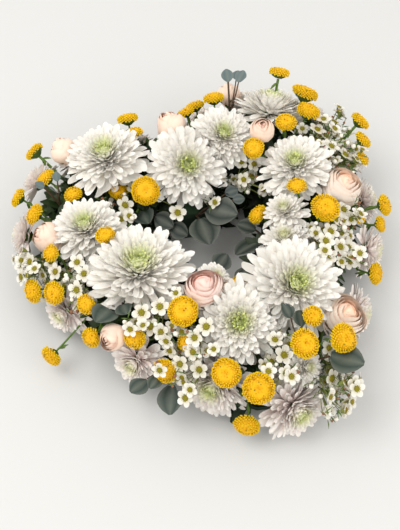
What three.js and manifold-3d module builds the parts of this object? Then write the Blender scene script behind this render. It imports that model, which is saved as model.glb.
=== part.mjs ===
// A funeral wreath: a heart-shaped foam frame in a plastic tray, dressed with chrysanthemums, roses,
// yellow button chrysanthemums, waxflower and eucalyptus.
// Millimetres, +Z up, the heart's tip towards -Y. The tray stands on z = 0.
import * as THREE from 'three';
import Module from 'manifold-3d';

const wasm = await Module();
wasm.setup();
const { Manifold, Mesh } = wasm;

// Heart: the middle line of the frame, as two lobe arcs and two straight sides that meet at the tip.
const LOBE_X = 53;
const LOBE_Y = 53;
const LOBE_R = 66;
const TIP_Y = -119;
const LOBE_STEPS = 9;
// Foam and tray, as half widths each side of the middle line.
const FOAM_HALF = 31;
const FOAM_BOTTOM = 4.3;
const FOAM_TOP = 48;
const FOAM_BEVEL = 8;
const TRAY_HALF = 33.8;
const TRAY_WALL = 2.5;
const TRAY_FLOOR = 4;
const TRAY_TOP = 7;
// Stems: radius of a main stem and of a branch, and the gap round them.
const BLOOM_STEM = 2.6;
const ROSE_STEM = 2.2;
const SPRAY_STEM = 1.8;
const BRANCH = 1.1;
const GAP = 0.3;
// Half the thickness of a leaf at its middle.
const LEAF_HALF = 0.8;
// A leaf climbs by this share of its twig's rise, and its face turns up by this much.
const LEAF_RISE = 0.3;
const LEAF_FACE = 0.6;
// Roses up to this radius are closed buds.
const BUD_RADIUS = 20;
// Lowest point of any flower or leaf.
const FLOOR_CLEAR = 1.6;
// Heads face away from a point at this share of the middle line's distance and at this height.
const AIM_IN = 0.96;
const AIM_Z = 18;
// Stems stand in the foam from this height, more if they are upright, and lean out at most this far.
const ROOT_Z = 19;
const ROOT_RISE = 7;
const ROOT_TOP = 25;
const ROOT_OUT = 17;
const ROOT_EDGE = 6;

const V = (x, y, z) => new THREE.Vector3(x, y, z);

// A seeded draw between -1 and 1.
function drawer(seed) {
  let state = (seed * 7919 + 17) % 2147483647;
  return () => {
    state = (state * 48271) % 2147483647;
    return (state / 2147483647) * 2 - 1;
  };
}

// Stations of the right half of the heart, from the tip to the cleft: a point and its outward normal.
function heartStations() {
  const reach = Math.hypot(LOBE_X, LOBE_Y - TIP_Y);
  const half = Math.atan2(LOBE_X, LOBE_Y - TIP_Y) + Math.asin(LOBE_R / reach);
  const side = Math.sqrt(reach * reach - LOBE_R * LOBE_R);
  const first = -half;
  const last = Math.PI - Math.acos(LOBE_X / LOBE_R);
  const stations = [];
  for (let i = 0; i <= 2; i += 1) {
    const a = -Math.PI / 2 + ((first + Math.PI / 2) * i) / 2;
    stations.push({ x: 0, y: TIP_Y, nx: Math.cos(a), ny: Math.sin(a), part: 'tip' });
  }
  const x = (side / 2) * Math.sin(half);
  const y = TIP_Y + (side / 2) * Math.cos(half);
  stations.push({ x, y, nx: Math.cos(first), ny: Math.sin(first), part: 'tip' });
  for (let i = 0; i <= LOBE_STEPS; i += 1) {
    const a = first + ((last - first) * i) / LOBE_STEPS;
    const nx = Math.cos(a);
    const ny = Math.sin(a);
    stations.push({ x: LOBE_X + LOBE_R * nx, y: LOBE_Y + LOBE_R * ny, nx, ny, part: 'lobe' });
  }
  const cleft = stations[stations.length - 1];
  for (let i = 1; i <= 2; i += 1) {
    const a = last + ((Math.PI / 2 - last) * i) / 2;
    stations.push({ x: 0, y: cleft.y, nx: Math.cos(a), ny: Math.sin(a), part: 'lobe' });
  }
  return { stations, half };
}

const HEART = heartStations();

// The point a distance d outside a station, held on the heart's axis where the two halves meet.
function offsetPoint(station, d) {
  const x = station.x + station.nx * d;
  const y = station.y + station.ny * d;
  if (x > 1e-6) return [x, y];
  if (Math.abs(x) <= 1e-6 && (station.part === 'tip') === (d > 0)) return [0, y];
  if (station.part === 'tip') return [0, TIP_Y - d / Math.sin(HEART.half)];
  return [0, LOBE_Y + Math.sqrt(Math.max((LOBE_R + d) ** 2 - LOBE_X ** 2, 0))];
}

// A closed solid from triangles given as points.
function solid(triangles) {
  const index = new Map();
  const verts = [];
  const tris = [];
  for (const triangle of triangles) {
    const ids = triangle.map((p) => {
      const key = p.map((c) => Math.round(c * 1e4)).join(',');
      if (!index.has(key)) {
        index.set(key, verts.length / 3);
        verts.push(...p);
      }
      return index.get(key);
    });
    if (ids[0] !== ids[1] && ids[1] !== ids[2] && ids[2] !== ids[0]) tris.push(...ids);
  }
  const mesh = new Mesh({
    numProp: 3,
    vertProperties: new Float32Array(verts),
    triVerts: new Uint32Array(tris),
  });
  return new Manifold(mesh);
}

// A heart-shaped ring with the given section, as [offset, z] points anticlockwise.
function heartRing(section) {
  const right = HEART.stations.map((s) => section.map(([d, z]) => [...offsetPoint(s, d), z]));
  const left = right.slice(1, -1).reverse();
  const rings = right.concat(left.map((ring) => ring.map(([x, y, z]) => [-x, y, z])));
  const triangles = [];
  rings.forEach((ring, i) => {
    const next = rings[(i + 1) % rings.length];
    ring.forEach((p, k) => {
      const m = (k + 1) % ring.length;
      triangles.push([p, next[k], next[m]], [p, next[m], ring[m]]);
    });
  });
  return solid(triangles);
}

// The middle line as a closed row of points, for measuring from.
const LINE = (() => {
  const right = HEART.stations.map((s) => [s.x, s.y]);
  const left = right.slice(1, -1).reverse().map(([x, y]) => [-x, y]);
  return right.concat(left);
})();

// The nearest point of the middle line, the signed distance outside it, and the way out.
function nearest(x, y) {
  let best = { distance: Infinity };
  let inside = false;
  LINE.forEach(([ax, ay], i) => {
    const [bx, by] = LINE[(i + 1) % LINE.length];
    const length = (bx - ax) ** 2 + (by - ay) ** 2;
    const along = length ? ((x - ax) * (bx - ax) + (y - ay) * (by - ay)) / length : 0;
    const t = Math.min(Math.max(along, 0), 1);
    const qx = ax + t * (bx - ax);
    const qy = ay + t * (by - ay);
    const distance = Math.hypot(x - qx, y - qy);
    if (distance < best.distance) best = { distance, qx, qy };
    if (ay > y !== by > y && x < ((bx - ax) * (y - ay)) / (by - ay) + ax) inside = !inside;
  });
  const sign = inside ? -1 : 1;
  const size = Math.max(best.distance, 1e-6);
  const out = [((x - best.qx) / size) * sign, ((y - best.qy) / size) * sign];
  return { x: best.qx, y: best.qy, offset: best.distance * sign, out };
}

// Heads: [x, y, z, radius], with the point at the middle of the flower's face.
// A lean of [x, y] tips the face that way from its rest along the way out of the frame.
const CHRYSANTHEMUMS = [
  { name: 'chrysanthemum_01', heads: [[-75, 130, 96, 43]], lean: [0, -0.2] },
  { name: 'chrysanthemum_02', heads: [[0, 87, 92, 42]], lean: [-0.1, -0.6] },
  { name: 'chrysanthemum_03', heads: [[45, 106, 102, 34]], lean: [0, -0.2] },
  { name: 'chrysanthemum_04', heads: [[-118, 57, 88, 38]], lean: [0, 0] },
  { name: 'chrysanthemum_05', heads: [[-84, -10, 98, 55]], lean: [0.1, 0] },
  { name: 'chrysanthemum_06', heads: [[99, 48, 102, 37]], lean: [0, -0.1] },
  { name: 'chrysanthemum_07', heads: [[47, -81, 98, 49]], lean: [-0.1, -0.2] },
  { name: 'chrysanthemum_spray_hole', heads: [[71, 8, 88, 25], [61, -19, 82, 27]] },
  { name: 'chrysanthemum_08', heads: [[-17, -99, 92, 42], [-16, -38, 79, 18]], lean: [-0.1, -0.4] },
  { name: 'chrysanthemum_09', heads: [[113, 141, 88, 41]], lean: [0, 0] },
  { name: 'chrysanthemum_10', heads: [[-166, -7, 40, 27]], lean: [0, -0.2] },
  { name: 'chrysanthemum_11', heads: [[-118, -86, 48, 29]], lean: [0, -0.1] },
  { name: 'chrysanthemum_12', heads: [[-57, -133, 48, 38]], lean: [0, -0.1] },
  { name: 'chrysanthemum_spray_tip', heads: [[12, -182, 42, 35], [30, -154, 72, 21], [0, -150, 58, 18]] },
  { name: 'chrysanthemum_spray_left', heads: [[-149, 159, 46, 25], [-181, 102, 36, 25]] },
  { name: 'chrysanthemum_spray_right', heads: [[155, -43, 38, 28], [175, 15, 44, 27]] },
  { name: 'chrysanthemum_spray_front', heads: [[113, -105, 38, 28], [72, -152, 34, 26]] },
  { name: 'chrysanthemum_spray_back_left', heads: [[-95, 182, 42, 28], [-34, 178, 40, 26]] },
  { name: 'chrysanthemum_spray_back_right', heads: [[48, 182, 40, 27], [108, 186, 42, 27]] },
  { name: 'chrysanthemum_spray_far_right', heads: [[163, 138, 50, 26], [183, 76, 44, 26]] },
];

const ROSES = [
  { name: 'rose_01', heads: [[-112, 159, 78, 18]] },
  { name: 'rose_02', heads: [[1, 145, 88, 20]] },
  { name: 'rose_03', heads: [[79, 179, 70, 16]] },
  { name: 'rose_04', heads: [[79, 88, 112, 16]] },
  { name: 'rose_05', heads: [[141, 17, 84, 24]], lean: [-0.11, 0.07] },
  { name: 'rose_06', heads: [[-156, 66, 70, 20]] },
  { name: 'rose_07', heads: [[-36, -56, 102, 22]], lean: [-0.12, -0.01] },
  { name: 'rose_08', heads: [[-128, -62, 68, 17]] },
  { name: 'rose_09', heads: [[84, -116, 76, 24]], lean: [-0.43, 0.34] },
];

const BUTTONS = [
  { name: 'button_spray_left_back', heads: [[-139, 180, 62, 10], [-138, 133, 74, 10], [-117, 104, 74, 9]] },
  { name: 'button_spray_left', heads: [[-160, 98, 68, 10], [-170, 128, 62, 9]] },
  { name: 'button_spray_left_front', heads: [[-166, 3, 68, 11], [-184, 18, 58, 11], [-157, 41, 78, 8]] },
  { name: 'button_spray_left_low', heads: [[-141, -24, 76, 9], [-146, -52, 62, 9], [-186, -40, 28, 10]] },
  { name: 'button_spray_cleft_left', heads: [[-36, 150, 86, 7], [-37, 173, 82, 10]] },
  { name: 'button_spray_cleft', heads: [[24, 162, 80, 8], [37, 170, 76, 9], [55, 162, 90, 10]] },
  { name: 'button_spray_back', heads: [[128, 160, 104, 10], [148, 136, 90, 14]] },
  { name: 'button_spray_inner', heads: [[64, 72, 108, 10], [106, 90, 110, 10], [138, 106, 98, 12]] },
  { name: 'button_spray_right', heads: [[190, 85, 84, 10], [184, 64, 80, 9], [176, 46, 74, 7],
    [143, 64, 62, 9]] },
  { name: 'button_spray_right_low', heads: [[177, -8, 62, 10], [166, -24, 54, 8], [136, -76, 56, 10],
    [143, -18, 72, 7]] },
  { name: 'button_spray_hole', heads: [[106, -12, 97, 14], [89, 20, 100, 9], [50, 20, 70, 10]] },
  { name: 'button_spray_hole_left', heads: [[-49, 76, 84, 14], [-72, 97, 68, 9], [-104, 30, 97, 9]] },
  { name: 'button_spray_front_left', heads: [[-62, -74, 98, 14], [-110, -74, 78, 10],
    [-93, -110, 66, 11], [-68, -96, 80, 7]] },
  { name: 'button_spray_front', heads: [[-45, -139, 84, 13], [-23, -162, 82, 14], [-36, -172, 32, 12]] },
  { name: 'button_spray_tip', heads: [[28, -143, 100, 13], [65, -147, 92, 14], [45, -121, 103, 9],
    [0, -52, 76, 9]] },
];

const WAXFLOWERS = [
  { name: 'waxflower_spray_left', heads: [[-178, 46, 66, 9.5], [-190, 40, 54, 9.5], [-158, 24, 70, 9],
    [-192, 66, 48, 6], [-145, -6, 76, 9.5], [-134, 5, 82, 9]] },
  { name: 'waxflower_spray_lower', heads: [[-60, -98, 88, 9], [-47, -93, 92, 9.5], [-64, -122, 72, 9],
    [-79, -112, 75, 9], [-97, -58, 90, 9.5], [-80, -60, 94, 9.5], [-93, -71, 83, 9]] },
  { name: 'waxflower_spray_right', heads: [[140, 85, 90, 9.5], [146, 62, 87, 9.5], [158, 52, 80, 9.5],
    [166, 97, 78, 9.5]] },
  { name: 'waxflower_spray_right_low', heads: [[92, -45, 92, 9.5], [106, -50, 82, 9.5], [103, -33, 86, 9.5],
    [128, -10, 80, 9.5]] },
  { name: 'waxflower_spray_tip', heads: [[45, -170, 70, 9.5], [44, -180, 58, 9.5], [58, -160, 72, 9],
    [10, -140, 84, 9.5]] },
  { name: 'waxflower_spray_hole', heads: [[-72, 76, 70, 9.5], [-23, 55, 62, 9.5], [16, 54, 62, 8],
    [51, 64, 72, 8]] },
];

// Leaves: the point is the middle of the leaf and the radius is half its length.
const EUCALYPTUS = [
  { name: 'eucalyptus_hole_top', heads: [[-2, 33, 50, 17], [20, 46, 56, 17], [38, 62, 60, 7],
    [42, 52, 58, 6]] },
  { name: 'eucalyptus_hole_right', heads: [[39, 23, 50, 10], [32, -1, 52, 16], [15, -31, 54, 11],
    [27, -20, 44, 9]] },
  { name: 'eucalyptus_hole_left', heads: [[-56, 70, 54, 13], [-38, 56, 52, 11], [-26, 44, 46, 10]] },
  { name: 'eucalyptus_back', heads: [[75, 175, 104, 7], [88, 169, 104, 7], [90, 184, 90, 6]] },
  { name: 'eucalyptus_left', heads: [[-146, 122, 80, 5], [-135, 112, 80, 5], [-128, 122, 86, 5]] },
  { name: 'eucalyptus_front_left', heads: [[-128, -42, 82, 14], [-110, -44, 84, 10]] },
  { name: 'eucalyptus_front', heads: [[-104, -112, 56, 8], [-94, -127, 42, 15], [-118, -107, 48, 10]] },
  { name: 'eucalyptus_tip', heads: [[62, -162, 82, 16], [27, -104, 97, 8], [36, -115, 96, 8]] },
];

// Square frame about an axis.
function frameOf(axis) {
  const a = axis.clone().normalize();
  const side = Math.abs(a.z) < 0.97 ? V(0, 0, 1) : V(0, 1, 0);
  const u = new THREE.Vector3().crossVectors(side, a).normalize();
  const v = new THREE.Vector3().crossVectors(a, u);
  return { a, u, v };
}

// Every head with its facing, and the middle and radius of the room that it fills.
const KINDS = [
  { list: CHRYSANTHEMUMS, kind: 'chrysanthemum', stem: BLOOM_STEM, sink: 0.28, room: 1.0, core: 0.36 },
  { list: ROSES, kind: 'rose', stem: ROSE_STEM, sink: 0.2, room: 1.08, core: 0.75 },
  { list: BUTTONS, kind: 'button', stem: SPRAY_STEM, sink: 0.15, room: 1.08, core: 1.05 },
  { list: WAXFLOWERS, kind: 'waxflower', stem: SPRAY_STEM, sink: 0, room: 1.12, core: 0.6 },
  { list: EUCALYPTUS, kind: 'eucalyptus', stem: SPRAY_STEM, sink: 0, room: 1.05, core: 0 },
];

const nodes = [];
for (const { list, kind, stem, sink, room, core } of KINDS) {
  for (const entry of list) {
    const node = { name: entry.name, kind, stem };
    const lean = entry.lean || [0, 0];
    node.heads = entry.heads.map(([x, y, z, r]) => {
      const at = V(x, y, z);
      const near = nearest(x, y);
      const out = V(x - near.x * AIM_IN, y - near.y * AIM_IN, z - AIM_Z).normalize();
      const axis = out.add(V(lean[0], lean[1], 0)).normalize();
      const middle = at.clone().addScaledVector(axis, -sink * r);
      return { at, r, axis, middle, room: room * r, core: core * r, near, node };
    });
    nodes.push(node);
  }
}
const heads = nodes.flatMap((node) => node.heads);

// Shortest distance between two straight pieces p-q and r-s.
function apart(p, q, r, s) {
  const d1 = q.clone().sub(p);
  const d2 = s.clone().sub(r);
  const w = p.clone().sub(r);
  const a = d1.dot(d1);
  const b = d1.dot(d2);
  const c = d2.dot(d2);
  const d = d1.dot(w);
  const e = d2.dot(w);
  const clamp = (t) => Math.min(Math.max(t, 0), 1);
  const det = a * c - b * b;
  let t = det > 1e-9 ? clamp((b * e - c * d) / det) : 0;
  const u = clamp(c > 1e-9 ? (b * t + e) / c : 0);
  t = clamp(a > 1e-9 ? (b * u - d) / a : 0);
  return w.addScaledVector(d1, t).addScaledVector(d2, -u).length();
}

// Where a branch meets the back of its head.
function backOf(head, kind) {
  const sink = { chrysanthemum: 0.42, rose: 0.5, button: 0.6, waxflower: 0.12, eucalyptus: 0.1 }[kind];
  return head.at.clone().addScaledVector(head.axis, -sink * head.r);
}

// Straight stem pieces of a node for one choice of where it stands and where it branches.
function stemPieces(node, along, inward, fork) {
  const mean = V(0, 0, 0);
  node.heads.forEach((h) => mean.add(backOf(h, node.kind)));
  mean.divideScalar(node.heads.length);
  const near = nearest(mean.x, mean.y);
  const offset = Math.max(Math.min(near.offset * 0.45, ROOT_OUT), -ROOT_OUT) + inward;
  const high = Math.max(mean.z - ROOT_TOP, 1);
  const rise = high / Math.hypot(near.offset, high);
  const root = V(near.x + near.out[0] * offset - near.out[1] * along,
    near.y + near.out[1] * offset + near.out[0] * along, ROOT_Z + ROOT_RISE * rise);
  const sunk = nearest(root.x, root.y).offset;
  if (Math.abs(sunk) > FOAM_HALF - ROOT_EDGE) return null;
  const [first, ...others] = node.heads.map((h) => backOf(h, node.kind));
  const joint = root.clone().lerp(first, fork);
  const pieces = [{ from: root, to: first, radius: node.stem }];
  others.forEach((back) => pieces.push({ from: joint, to: back, radius: BRANCH }));
  return pieces;
}

// Each stem takes the first free place in the foam that keeps it clear of other stems and hearts.
const placed = [];
for (const node of nodes) {
  let best = { clear: -Infinity };
  for (const fork of [0.6, 0.5, 0.7, 0.8]) {
    for (const along of [0, 7, -7, 14, -14, 21, -21, 28, -28]) {
      for (const inward of [0, 6, -6, 12, -12]) {
        const pieces = stemPieces(node, along, inward, fork);
        if (!pieces || best.clear > 0.9) continue;
        let clear = 2;
        for (const s of pieces) {
          for (const other of placed) {
            clear = Math.min(clear, apart(s.from, s.to, other.from, other.to) - s.radius - other.radius);
          }
          for (const head of heads) {
            if (head.node === node || head.core === 0) continue;
            const gap = apart(s.from, s.to, head.middle, head.middle) - s.radius - head.core;
            clear = Math.min(clear, gap);
          }
        }
        if (clear > best.clear) best = { clear, pieces };
      }
    }
  }
  node.pieces = best.pieces;
  placed.push(...best.pieces);
}

// A straight prism between two points.
function rod(from, to, radius, sides) {
  const way = to.clone().sub(from);
  const { u, v } = frameOf(way);
  const ring = (p) => Array.from({ length: sides }, (_, k) => {
    const t = (k / sides) * Math.PI * 2;
    const c = p.clone().addScaledVector(u, radius * Math.cos(t));
    return c.addScaledVector(v, radius * Math.sin(t)).toArray();
  });
  const low = ring(from);
  const high = ring(to);
  const triangles = [];
  for (let k = 0; k < sides; k += 1) {
    const m = (k + 1) % sides;
    triangles.push([low[k], low[m], high[m]], [low[k], high[m], high[k]]);
    if (k > 0 && m > 0) {
      triangles.push([low[0], low[m], low[k]], [high[0], high[k], high[m]]);
    }
  }
  return solid(triangles);
}

// Flat cuts that keep a head's room apart from the rooms of other nodes' heads.
function roomPlanes(head) {
  const planes = [];
  for (const other of heads) {
    if (other.node === head.node) continue;
    const way = other.middle.clone().sub(head.middle);
    const distance = way.length();
    if (distance > head.room + other.room + 2) continue;
    let t = (distance ** 2 + head.room ** 2 - other.room ** 2) / (2 * distance);
    const least = Math.min(0.42 * head.room, (distance * head.room) / (head.room + other.room));
    const most = distance - Math.min(0.42 * other.room, (distance * other.room) / (head.room + other.room));
    t = Math.min(Math.max(t, least), most);
    way.divideScalar(distance);
    planes.push({ n: way, d: way.dot(head.middle) + t - GAP / 2 });
  }
  return planes;
}

// A point held inside a head's room, above the ground and off the foam and tray.
function held(point, planes, margin) {
  const p = point.clone();
  for (let pass = 0; pass < 8; pass += 1) {
    for (const { n, d } of planes) {
      const over = n.dot(p) - (d - margin);
      if (over > 0) p.addScaledVector(n, -over);
    }
    const near = nearest(p.x, p.y);
    const wide = TRAY_HALF + GAP + margin - Math.abs(near.offset);
    const deep = FOAM_TOP + GAP + margin - p.z;
    if (wide > 0 && deep > 0) {
      if (deep < wide) p.z += deep;
      else {
        const sign = Math.sign(near.offset) || 1;
        p.x += near.out[0] * wide * sign;
        p.y += near.out[1] * wide * sign;
      }
    }
    p.z = Math.max(p.z, FLOOR_CLEAR + margin);
  }
  return p;
}

// A point drawn in towards a base where it would leave the room, and then held inside it.
function fitted(point, base, planes, margin) {
  for (let s = 1; s > 0.7; s -= 0.06) {
    const q = base.clone().lerp(point, s);
    if (held(q, planes, margin).distanceTo(q) < 0.02) return q;
  }
  return held(base.clone().lerp(point, 0.7), planes, margin);
}

// A thin closed blade over a rim of points from its root, thickest at its middle point.
function blade(rim, middle, half, planes) {
  const margin = half + 0.15;
  const edge = rim.map((p) => fitted(p, middle, planes, margin));
  const centre = held(middle, planes, margin);
  const normal = V(0, 0, 0);
  edge.forEach((p, i) => {
    const q = edge[(i + 1) % edge.length];
    normal.add(new THREE.Vector3().crossVectors(p.clone().sub(centre), q.clone().sub(centre)));
  });
  normal.normalize();
  const top = centre.clone().addScaledVector(normal, half).toArray();
  const low = centre.clone().addScaledVector(normal, -half).toArray();
  const triangles = [];
  edge.forEach((p, i) => {
    const q = edge[(i + 1) % edge.length];
    triangles.push([p.toArray(), q.toArray(), top], [q.toArray(), p.toArray(), low]);
  });
  return solid(triangles);
}

// A point of a head: r outwards at the turn t, h along the axis, s sideways, as shares of its radius.
function headPoint(head, frame, t, r, h, s) {
  const c = Math.cos(t);
  const w = Math.sin(t);
  const p = head.at.clone().addScaledVector(frame.a, h * head.r);
  p.addScaledVector(frame.u, (r * c - s * w) * head.r);
  return p.addScaledVector(frame.v, (r * w + s * c) * head.r);
}

// A round body about a head's axis, from rings of [radius, height] that end on the axis.
function turned(head, frame, rings, sides, wave) {
  const point = ([r, h], k) => {
    const t = (k / sides) * Math.PI * 2;
    const swell = 1 + wave * (k % 2 ? -1 : 1);
    return headPoint(head, frame, t, r * swell, h, 0).toArray();
  };
  const triangles = [];
  for (let i = 0; i + 1 < rings.length; i += 1) {
    for (let k = 0; k < sides; k += 1) {
      const a = point(rings[i], k);
      const b = point(rings[i], (k + 1) % sides);
      const c = point(rings[i + 1], (k + 1) % sides);
      const d = point(rings[i + 1], k);
      triangles.push([a, b, c], [a, c, d]);
    }
  }
  return solid(triangles);
}

// Layers of petals about an axis as one closed body. Each layer gives the radius and height of its
// petal tips, of the notches between petals, and of the groove above it, as shares of the radius.
const LAYERS = {
  large: [
    { tip: [1.02, -0.5], notch: [0.72, -0.46], groove: [0.5, -0.28] },
    { tip: [0.9, -0.16], notch: [0.62, -0.2], groove: [0.34, -0.1] },
    { tip: [0.54, 0.1], notch: [0.38, 0.06], groove: [0.18, 0.02] },
  ],
  small: [
    { tip: [1.02, -0.44], notch: [0.68, -0.4], groove: [0.44, -0.2] },
    { tip: [0.78, 0.0], notch: [0.5, -0.02], groove: [0.22, -0.04] },
  ],
  bud: [
    { tip: [0.84, -0.2], notch: [0.72, -0.38], groove: [0.58, -0.3] },
    { tip: [0.62, 0.22], notch: [0.52, 0.06], groove: [0.4, 0.02] },
    { tip: [0.36, 0.46], notch: [0.28, 0.36], groove: [0.14, 0.28] },
  ],
  rose: [
    { tip: [1.0, -0.08], notch: [0.8, -0.26], groove: [0.62, -0.34] },
    { tip: [0.7, 0.2], notch: [0.56, 0.06], groove: [0.42, -0.04] },
    { tip: [0.34, 0.32], notch: [0.28, 0.24], groove: [0.14, 0.14] },
  ],
};

function layered(head, planes, draw, { layers, count, foot }) {
  const frame = frameOf(head.axis);
  const base = head.middle;
  const at = (turn, r, h) => fitted(headPoint(head, frame, turn, r, h, 0), base, planes, 0.3).toArray();
  const step = (Math.PI * 2) / count;
  const rings = layers.map((layer, k) => {
    const shift = k * step * 0.5;
    const loose = k === layers.length - 1 ? 0.4 : 1;
    const tips = [];
    const notches = [];
    const grooves = [];
    for (let i = 0; i < count; i += 1) {
      const long = 1 + draw() * 0.07 * loose;
      const turn = i * step + shift + draw() * 0.12 * step;
      tips.push(at(turn, layer.tip[0] * long, layer.tip[1] + draw() * 0.05 * loose));
      notches.push(at((i + 0.5) * step + shift, layer.notch[0], layer.notch[1] + draw() * 0.02));
      grooves.push(at((i + 0.5) * step + shift, layer.groove[0], layer.groove[1]));
    }
    return { tips, notches, grooves };
  });
  const low = at(0, 0, foot);
  const high = at(0, 0, layers[layers.length - 1].groove[1] + 0.02);
  const triangles = [];
  rings.forEach(({ tips, notches, grooves }, k) => {
    const under = k ? rings[k - 1].grooves : null;
    for (let i = 0; i < count; i += 1) {
      const m = (i + 1) % count;
      // The groove below sits under the petal tips of this layer, one place round for later layers.
      if (under) {
        triangles.push([under[i], notches[i], tips[i]]);
        triangles.push([under[i], under[m], notches[i]]);
        triangles.push([under[m], tips[m], notches[i]]);
      } else {
        triangles.push([low, notches[i], tips[i]], [low, tips[m], notches[i]]);
      }
      triangles.push([tips[i], notches[i], grooves[i]], [notches[i], tips[m], grooves[i]]);
      triangles.push([grooves[i], tips[m], grooves[m]]);
      if (k === rings.length - 1) triangles.push([grooves[i], grooves[m], high]);
    }
  });
  return [solid(triangles)];
}

function chrysanthemum(head, planes, draw) {
  if (head.r < 30) return layered(head, planes, draw, { layers: LAYERS.small, count: 9, foot: -0.62 });
  const count = head.r < 40 ? 10 : 12;
  return layered(head, planes, draw, { layers: LAYERS.large, count, foot: -0.66 });
}

function rose(head, planes, draw) {
  const layers = head.r <= BUD_RADIUS ? LAYERS.bud : LAYERS.rose;
  return layered(head, planes, draw, { layers, count: 5, foot: -0.95 });
}

// A button: green cup below, packed florets as a waved dome, and a dimple in the middle.
function button(head, planes) {
  const frame = frameOf(head.axis);
  const rings = [[0, -0.72], [1.0, -0.2], [0.8, 0.2], [0, 0.12]];
  return [trimmed(turned(head, frame, rings, 8, 0.07), head, planes)];
}

// A waxflower: five round petals about a cup.
function waxflower(head, planes) {
  const frame = frameOf(head.axis);
  const rim = Array.from({ length: 10 }, (_, k) => {
    const r = k % 2 ? 0.52 : 1.0;
    return headPoint(head, frame, (k / 10) * Math.PI * 2, r, k % 2 ? -0.05 : 0.12, 0);
  });
  return [blade(rim, headPoint(head, frame, 0, 0, -0.1, 0), 1.2, planes)];
}

// A eucalyptus leaf, held out nearly level from its twig and cupped along the middle.
function leaf(head, planes, twig) {
  const along = head.at.clone().sub(twig);
  along.z *= LEAF_RISE;
  along.normalize();
  const up = head.axis.clone().add(V(0, 0, LEAF_FACE));
  const face = up.addScaledVector(along, -up.dot(along)).normalize();
  const across = new THREE.Vector3().crossVectors(face, along);
  const outline = [[-1, 0], [-0.4, 0.84], [0.6, 0.7], [1, 0]];
  const rim = outline.concat(outline.slice(1, -1).reverse().map(([x, y]) => [x, -y]));
  const points = rim.map(([x, y]) => {
    const p = head.at.clone().addScaledVector(along, x * head.r);
    return p.addScaledVector(across, -y * head.r).addScaledVector(face, Math.abs(y) * 0.18 * head.r);
  });
  return [blade(points, head.at.clone().addScaledVector(face, -0.04 * head.r), LEAF_HALF, planes)];
}

// A solid cut back to its room where a plane crosses it.
function trimmed(body, head, planes) {
  let cut = body;
  for (const { n, d } of planes) {
    if (n.dot(head.middle) + head.room > d) cut = cut.trimByPlane([-n.x, -n.y, -n.z], -(d - 0.1));
  }
  return cut;
}

const MAKERS = { chrysanthemum, rose, button, waxflower };

// The largest single body of a solid, with loose scraps dropped and sealed hollows filled.
function largest(body) {
  const bodies = body.decompose();
  return bodies.reduce((a, b) => (b.volume() > a.volume() ? b : a));
}

// Stems, and a fatter copy of each that keeps other nodes clear of it.
for (const node of nodes) {
  const sides = { chrysanthemum: 5, rose: 5, button: 4, waxflower: 3, eucalyptus: 3 }[node.kind];
  node.stems = node.pieces.map((s, i) => rod(s.from, s.to, s.radius, i === 0 ? sides : 3));
  node.sleeves = node.pieces.map((s, i) => {
    const past = s.from.clone().sub(s.to).normalize();
    const from = s.from.clone().addScaledVector(past, GAP);
    return rod(from, s.to, s.radius + GAP * 1.5, i === 0 ? sides : 3);
  });
  node.sleeve = Manifold.union(node.sleeves);
}

// Keep-out body over the foam and tray.
const keepOut = heartRing([
  [TRAY_HALF + GAP, -1], [TRAY_HALF + GAP, TRAY_TOP + GAP], [FOAM_HALF + GAP, TRAY_TOP + 1],
  [FOAM_HALF + GAP, FOAM_TOP - FOAM_BEVEL + GAP], [FOAM_HALF - FOAM_BEVEL, FOAM_TOP + GAP],
  [FOAM_BEVEL - FOAM_HALF, FOAM_TOP + GAP], [-FOAM_HALF - GAP, FOAM_TOP - FOAM_BEVEL + GAP],
  [-FOAM_HALF - GAP, TRAY_TOP + 1], [-TRAY_HALF - GAP, TRAY_TOP + GAP], [-TRAY_HALF - GAP, -1],
]);

// Materials.
const paint = (color, roughness) => new THREE.MeshStandardMaterial({ color, roughness });
const LOOKS = {
  chrysanthemum: paint('#f5f1ee', 0.6),
  rose: paint('#f6d9c2', 0.6),
  button: paint('#fbc50a', 0.7),
  waxflower: paint('#f3efe2', 0.5),
  eucalyptus: paint('#52635c', 0.6),
  foam: paint('#3f6b3c', 0.9),
  tray: paint('#24502f', 0.5),
};

const group = new THREE.Group();
group.name = 'funeral_wreath';

function add(name, body, material) {
  const { numProp, vertProperties, triVerts } = body.getMesh();
  const positions = new Float32Array(triVerts.length * 3);
  triVerts.forEach((v, i) => {
    for (let k = 0; k < 3; k += 1) positions[i * 3 + k] = vertProperties[v * numProp + k];
  });
  const geometry = new THREE.BufferGeometry();
  geometry.setAttribute('position', new THREE.BufferAttribute(positions, 3));
  geometry.computeVertexNormals();
  const mesh = new THREE.Mesh(geometry, material.clone());
  mesh.name = name;
  group.add(mesh);
}

// The tray is a channel that the foam stands in.
const inner = TRAY_HALF - TRAY_WALL;
add('base_tray', heartRing([
  [TRAY_HALF, 0], [TRAY_HALF, TRAY_TOP], [inner, TRAY_TOP], [inner, TRAY_FLOOR],
  [-inner, TRAY_FLOOR], [-inner, TRAY_TOP], [-TRAY_HALF, TRAY_TOP], [-TRAY_HALF, 0],
]), LOOKS.tray);

const foam = heartRing([
  [FOAM_HALF, FOAM_BOTTOM], [FOAM_HALF, FOAM_TOP - FOAM_BEVEL], [FOAM_HALF - FOAM_BEVEL, FOAM_TOP],
  [FOAM_BEVEL - FOAM_HALF, FOAM_TOP], [-FOAM_HALF, FOAM_TOP - FOAM_BEVEL], [-FOAM_HALF, FOAM_BOTTOM],
]);
add('foam_ring', foam.subtract(Manifold.union(nodes.map((n) => n.sleeves[0]))), LOOKS.foam);

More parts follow.
